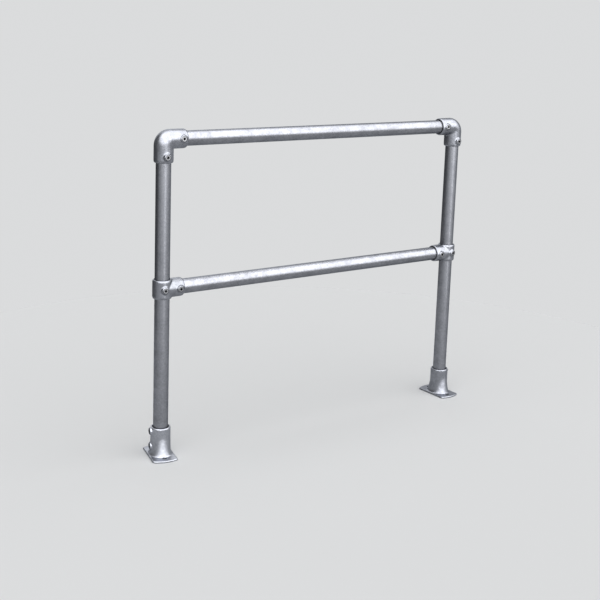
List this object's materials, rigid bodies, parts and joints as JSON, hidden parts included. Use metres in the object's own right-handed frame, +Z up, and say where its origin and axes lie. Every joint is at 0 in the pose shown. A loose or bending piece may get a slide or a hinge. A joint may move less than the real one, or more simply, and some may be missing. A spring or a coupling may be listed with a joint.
{
  "type": "modular handrail",
  "caption": "Guardrail panel of galvanised steel tube: posts on base flanges carry a top rail and a mid rail, held by cast elbows and tees with set screws.",
  "frame": {"origin": "on the floor, midway between the two posts", "axes": "+X along the rails towards the right-hand post seen from the screws' side, -Y is the front with the elbow and tee screws, +Z up along the posts"},
  "size_m": [1.2961, 0.1468, 1.0611],
  "materials": {
    "tube_steel": "hot-dip galvanised tube, dull silver grey with a fine mottled bloom and a soft sheen",
    "cast_fitting": "hot-dip galvanised casting, light grey, slightly uneven, satin",
    "set_screw": "zinc-plated set screw, darker grey, satin"
  },
  "bodies": {
    "root": {"post_left": "tube_steel", "post_right": "tube_steel", "top_rail": "tube_steel", "mid_rail": "tube_steel", "elbow_left": "cast_fitting", "elbow_left_screw_1": "set_screw", "elbow_left_screw_2": "set_screw", "elbow_right": "cast_fitting", "elbow_right_screw_1": "set_screw", "elbow_right_screw_2": "set_screw", "tee_left": "cast_fitting", "tee_left_screw_1": "set_screw", "tee_left_screw_2": "set_screw", "tee_right": "cast_fitting", "tee_right_screw_1": "set_screw", "tee_right_screw_2": "set_screw", "flange_left": "cast_fitting", "flange_left_screw_1": "set_screw", "flange_left_screw_2": "set_screw", "flange_right": "cast_fitting", "flange_right_screw_1": "set_screw", "flange_right_screw_2": "set_screw"}
  },
  "joints": []
}
